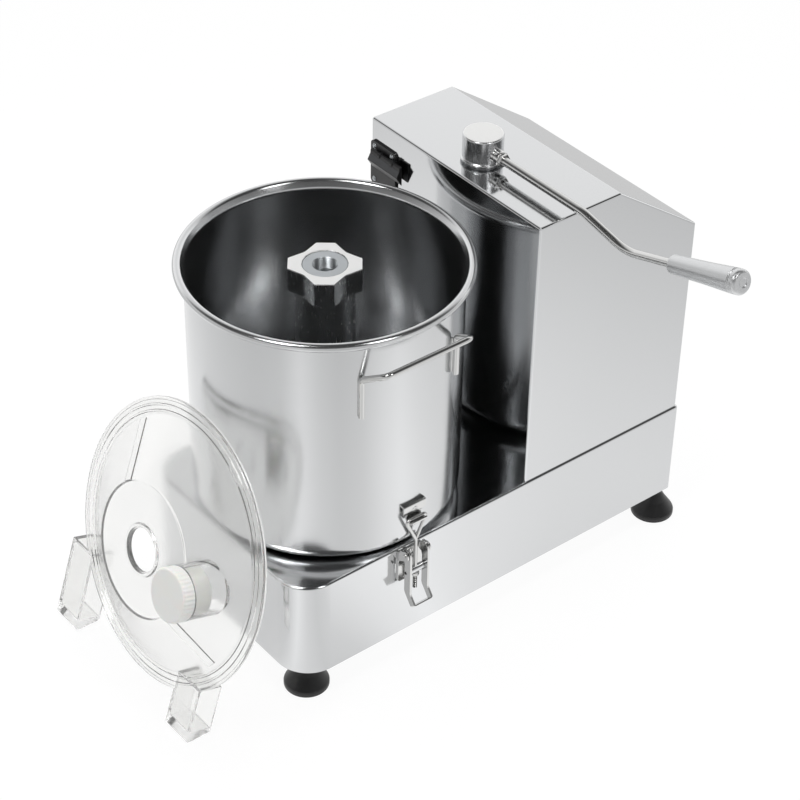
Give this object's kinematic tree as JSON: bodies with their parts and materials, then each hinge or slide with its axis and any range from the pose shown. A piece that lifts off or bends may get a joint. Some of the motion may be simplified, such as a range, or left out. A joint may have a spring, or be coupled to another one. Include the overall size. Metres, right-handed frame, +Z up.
{
  "type": "bowl cutter",
  "caption": "Tabletop bowl cutter: clamped stainless bowl on a low base, boxed motor tower with a swinging lid lever, and a clear lid that leans beside it.",
  "frame": {"origin": "centre of the bottom of the overall box, on the table under the feet", "axes": "+X from the bowl end towards the motor tower, along the base; +Y towards the machine's left; +Z up"},
  "size_m": [0.5872, 0.4618, 0.4609],
  "materials": {
    "polished_steel": "polished",
    "satin_steel": "satin",
    "zinc_steel": "plated",
    "cast_aluminium": "satin",
    "clear_plastic": "clear, polished",
    "white_plastic": "semi-gloss",
    "black_plastic": "satin",
    "black_rubber": "semi-gloss",
    "motor_paint": "satin"
  },
  "bodies": {
    "machine": {"base_housing": "polished_steel", "base_plate": "satin_steel", "feet": "black_rubber", "foot_studs": "zinc_steel", "tower_housing": "polished_steel", "back_cover": "polished_steel", "cover_screws": "zinc_steel", "bowl": "polished_steel", "bowl_seat": "black_rubber", "bowl_handle_right": "polished_steel", "bowl_handle_left": "polished_steel", "bowl_catch_right": "polished_steel", "bowl_catch_left": "polished_steel", "latch_bracket_right": "polished_steel", "latch_bracket_left": "polished_steel", "latch_pins_right": "polished_steel", "latch_pins_left": "polished_steel", "lever_bush": "satin_steel", "interlock_switch": "black_plastic", "switch_plate": "black_plastic", "switch_screws": "zinc_steel", "hood_pin": "zinc_steel", "switch_box": "black_plastic", "bearing_carrier": "cast_aluminium", "bearing_lower": "zinc_steel", "bearing_upper": "zinc_steel", "shaft_seal": "black_rubber", "drive_belt": "black_rubber", "motor": "motor_paint", "motor_flange": "cast_aluminium", "motor_bolts": "zinc_steel", "cable_gland": "black_plastic"},
    "blades": {"spindle": "zinc_steel", "spindle_pulley": "cast_aluminium", "blade_sleeve": "satin_steel", "knife_lower": "polished_steel", "knife_upper": "polished_steel", "knife_rings": "satin_steel", "hub_nut": "satin_steel", "hub_ring": "zinc_steel"},
    "motor_rotor": {"motor_shaft": "zinc_steel", "motor_pulley": "cast_aluminium"},
    "lid": {"lid": "clear_plastic"},
    "feed_plug": {"feed_plug": "white_plastic"},
    "lid_lever": {"lever_post": "zinc_steel", "lever_cap": "polished_steel", "lever_boss": "polished_steel", "lever_rod": "polished_steel", "lever_grip": "cast_aluminium", "interlock_cam": "zinc_steel"},
    "latch_right": {"latch_lever_right": "polished_steel"},
    "latch_left": {"latch_lever_left": "polished_steel"},
    "bail_right": {"latch_trunnion_right": "polished_steel", "latch_bail_right": "polished_steel"},
    "bail_left": {"latch_trunnion_left": "polished_steel", "latch_bail_left": "polished_steel"},
    "hood": {"switch_hood": "black_plastic"},
    "start_button": {"start_button": "black_plastic"},
    "stop_button": {"stop_button": "black_plastic"}
  },
  "joints": [
    {"name": "lever_swing", "type": "hinge", "parent": "machine", "child": "lid_lever", "pos_m": [0.11758, 0.08803, 0.4226], "axis": [0, 0, -1], "range_deg": [0, 90]},
    {"name": "blade_spin", "type": "hinge", "parent": "machine", "child": "blades", "pos_m": [-0.05692, 0.08803, 0.2], "axis": [0, 0, 1], "continuous": true},
    {"name": "motor_spin", "type": "hinge", "parent": "machine", "child": "motor_rotor", "pos_m": [0.18008, 0.08803, 0.1], "axis": [0, 0, 1], "continuous": true},
    {"name": "lid_lift", "type": "slide", "parent": "machine", "child": "lid", "axis": [0, 0, 1], "range_m": [0, 0.25]},
    {"name": "feed_plug_pull", "type": "slide", "parent": "lid", "child": "feed_plug", "axis": [-0.9537, 0, 0.3007], "range_m": [0, 0.04]},
    {"name": "latch_right_open", "type": "hinge", "parent": "machine", "child": "latch_right", "pos_m": [-0.05391, -0.04077, 0.131], "axis": [-1, 0, 0], "range_deg": [0, 90]},
    {"name": "bail_right_swing", "type": "hinge", "parent": "latch_right", "child": "bail_right", "pos_m": [-0.05391, -0.03997, 0.11], "axis": [-1, 0, 0], "range_deg": [-72, 0]},
    {"name": "latch_left_open", "type": "hinge", "parent": "machine", "child": "latch_left", "pos_m": [-0.05391, 0.21683, 0.131], "axis": [1, 0, 0], "range_deg": [0, 90]},
    {"name": "bail_left_swing", "type": "hinge", "parent": "latch_left", "child": "bail_left", "pos_m": [-0.05391, 0.21603, 0.11], "axis": [1, 0, 0], "range_deg": [-72, 0]},
    {"name": "hood_flip", "type": "hinge", "parent": "machine", "child": "hood", "pos_m": [0.07888, 0.17653, 0.3805], "axis": [0, 1, 0], "range_deg": [0, 75]},
    {"name": "start_press", "type": "slide", "parent": "machine", "child": "start_button", "axis": [1, 0, 0], "range_m": [0, 0.002], "stiffness_N_per_m": 400, "springref_m": -0.002},
    {"name": "stop_press", "type": "slide", "parent": "machine", "child": "stop_button", "axis": [1, 0, 0], "range_m": [0, 0.002], "stiffness_N_per_m": 400, "springref_m": -0.002}
  ],
  "couplings": [
    {"joint": "motor_spin", "follows": "blade_spin", "ratio": 1.2222},
    {"joint": "bail_right_swing", "follows": "latch_right_open", "ratio": -0.8},
    {"joint": "bail_left_swing", "follows": "latch_left_open", "ratio": -0.8}
  ]
}
